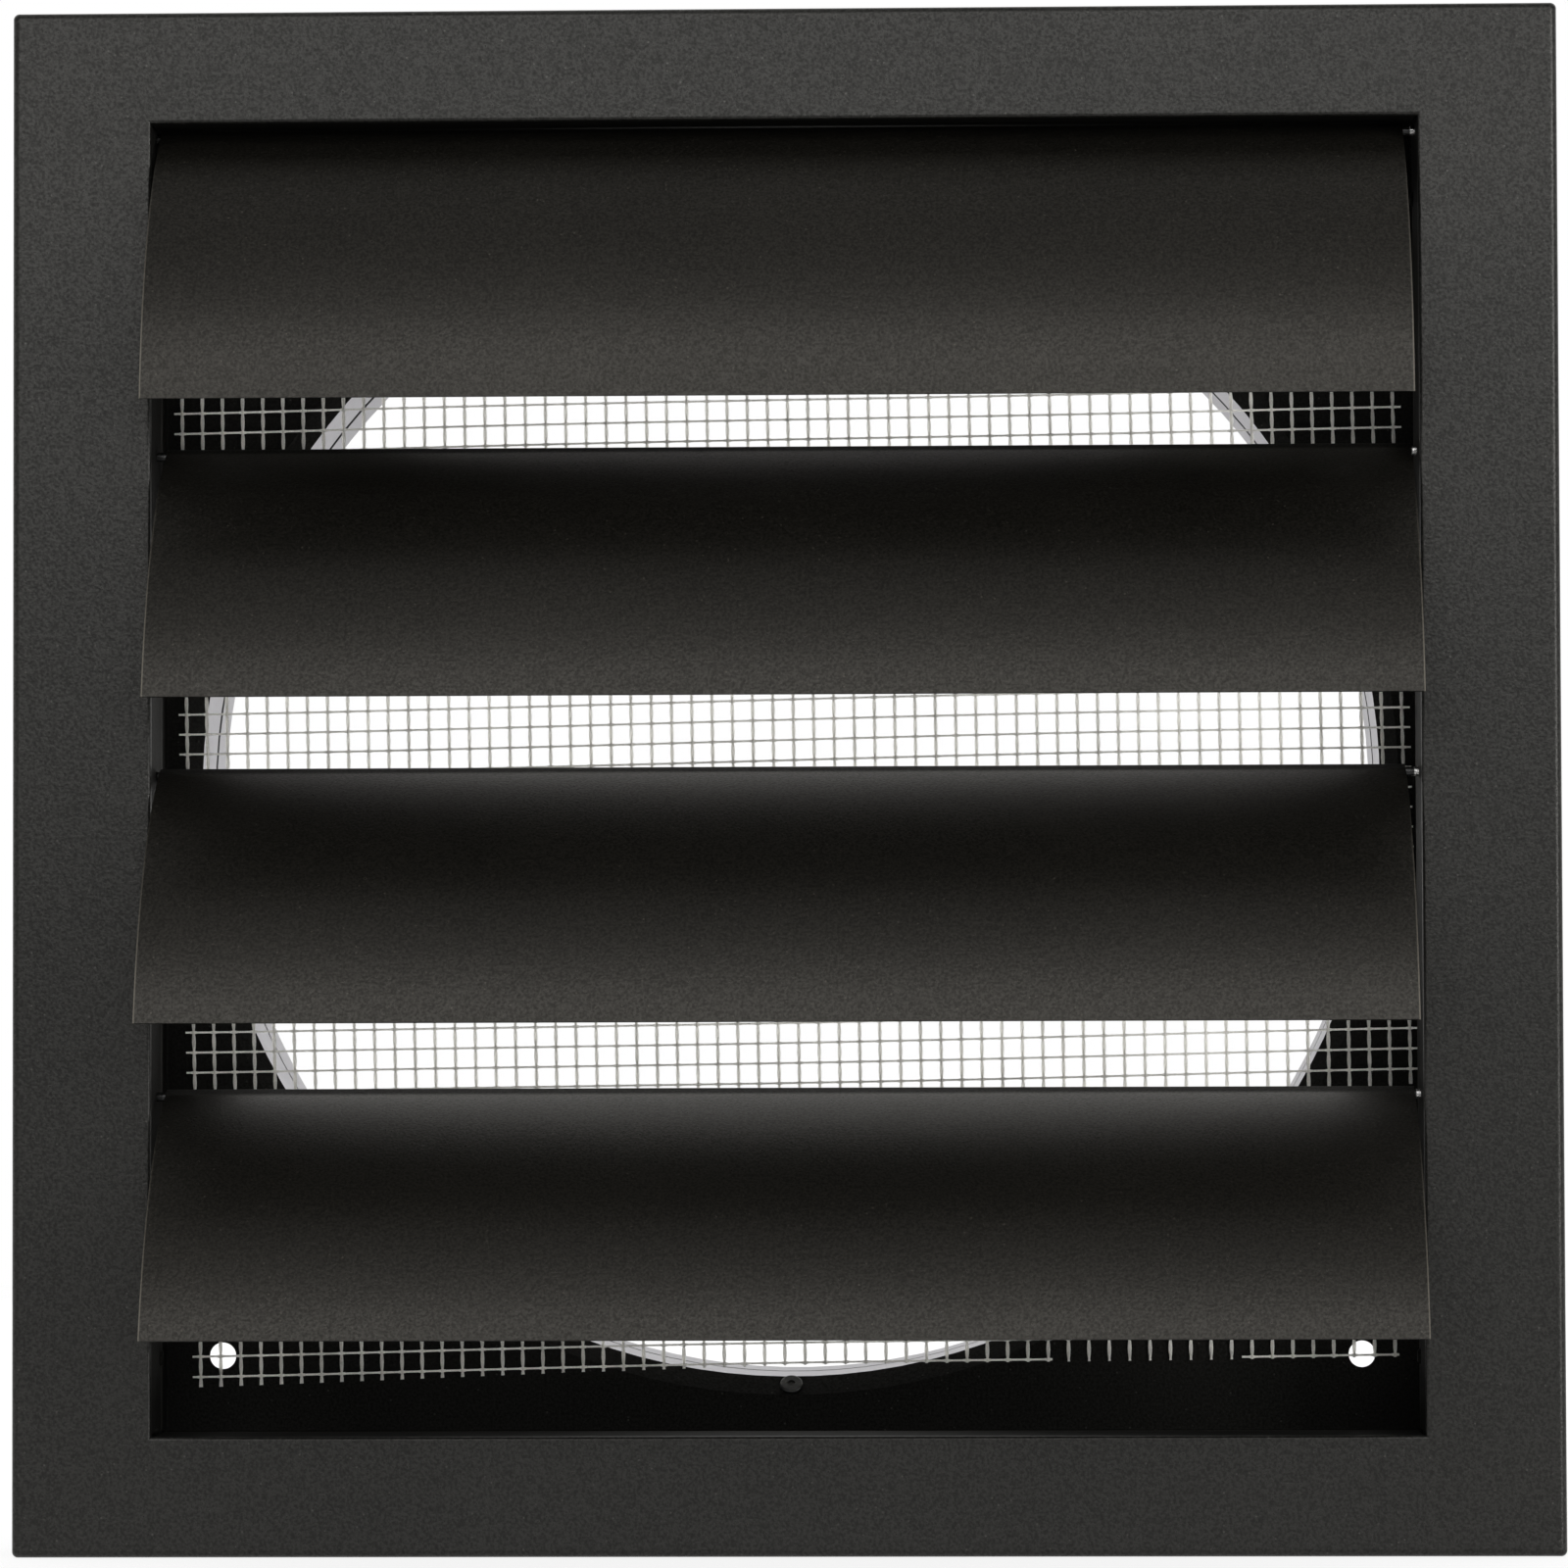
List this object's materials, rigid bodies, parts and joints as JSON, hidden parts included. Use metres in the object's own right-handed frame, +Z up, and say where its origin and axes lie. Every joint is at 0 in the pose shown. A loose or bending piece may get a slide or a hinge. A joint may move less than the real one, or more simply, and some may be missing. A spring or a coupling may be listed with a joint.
{
  "type": "dryer vent cover",
  "caption": "Square sheet-metal vent cover with curved gravity flaps, an insect screen behind them and a round duct spigot at the back.",
  "frame": {"origin": "on the duct axis, in the wall plane at the back of the panel, at the centre of the four screw holes", "axes": "+Z up, +Y into the wall along the duct axis, front faces -Y, +X to the right seen from the front"},
  "size_m": [0.32, 0.1246, 0.32],
  "materials": {
    "casing_paint": "matt bronze-black powder coat with a fine grain",
    "tray_paint": "the casing's coat, thinner and darker inside",
    "flap_paint": "matt bronze-black powder coat with a fine grain",
    "galvanised_sheet": "bare galvanised sheet, dull",
    "axle_wire": "bright drawn steel wire",
    "rivet_steel": "dull grey steel rivet",
    "painted_rivet": "painted over with the casing",
    "screen_yarn": "translucent coated glass yarn, pale grey"
  },
  "bodies": {
    "casing": {"front_frame": "casing_paint", "back_tray": "tray_paint", "duct_collar": "galvanised_sheet", "insect_screen": "screen_yarn", "collar_rivet_1": "rivet_steel", "collar_rivet_2": "rivet_steel", "collar_rivet_3": "rivet_steel", "collar_rivet_4": "rivet_steel", "casing_rivet_1": "painted_rivet", "casing_rivet_2": "painted_rivet", "casing_rivet_3": "painted_rivet", "casing_rivet_4": "painted_rivet", "casing_rivet_5": "painted_rivet", "casing_rivet_6": "painted_rivet"},
    "flap_1_body": {"flap_1": "flap_paint", "flap_axle_1": "axle_wire"},
    "flap_2_body": {"flap_2": "flap_paint", "flap_axle_2": "axle_wire"},
    "flap_3_body": {"flap_3": "flap_paint", "flap_axle_3": "axle_wire"},
    "flap_4_body": {"flap_4": "flap_paint", "flap_axle_4": "axle_wire"}
  },
  "joints": [
    {"name": "flap_1_hinge", "type": "hinge", "parent": "casing", "child": "flap_1_body", "pos_m": [0, -0.024, 0.1349], "axis": [-1, 0, 0], "range_deg": [-23.5, 18]},
    {"name": "flap_2_hinge", "type": "hinge", "parent": "casing", "child": "flap_2_body", "pos_m": [0, -0.024, 0.0682], "axis": [-1, 0, 0], "range_deg": [-31, 10.5]},
    {"name": "flap_3_hinge", "type": "hinge", "parent": "casing", "child": "flap_3_body", "pos_m": [0, -0.024, 0.0015], "axis": [-1, 0, 0], "range_deg": [-32, 9.5]},
    {"name": "flap_4_hinge", "type": "hinge", "parent": "casing", "child": "flap_4_body", "pos_m": [0, -0.024, -0.0652], "axis": [-1, 0, 0], "range_deg": [-35.5, 6]}
  ]
}
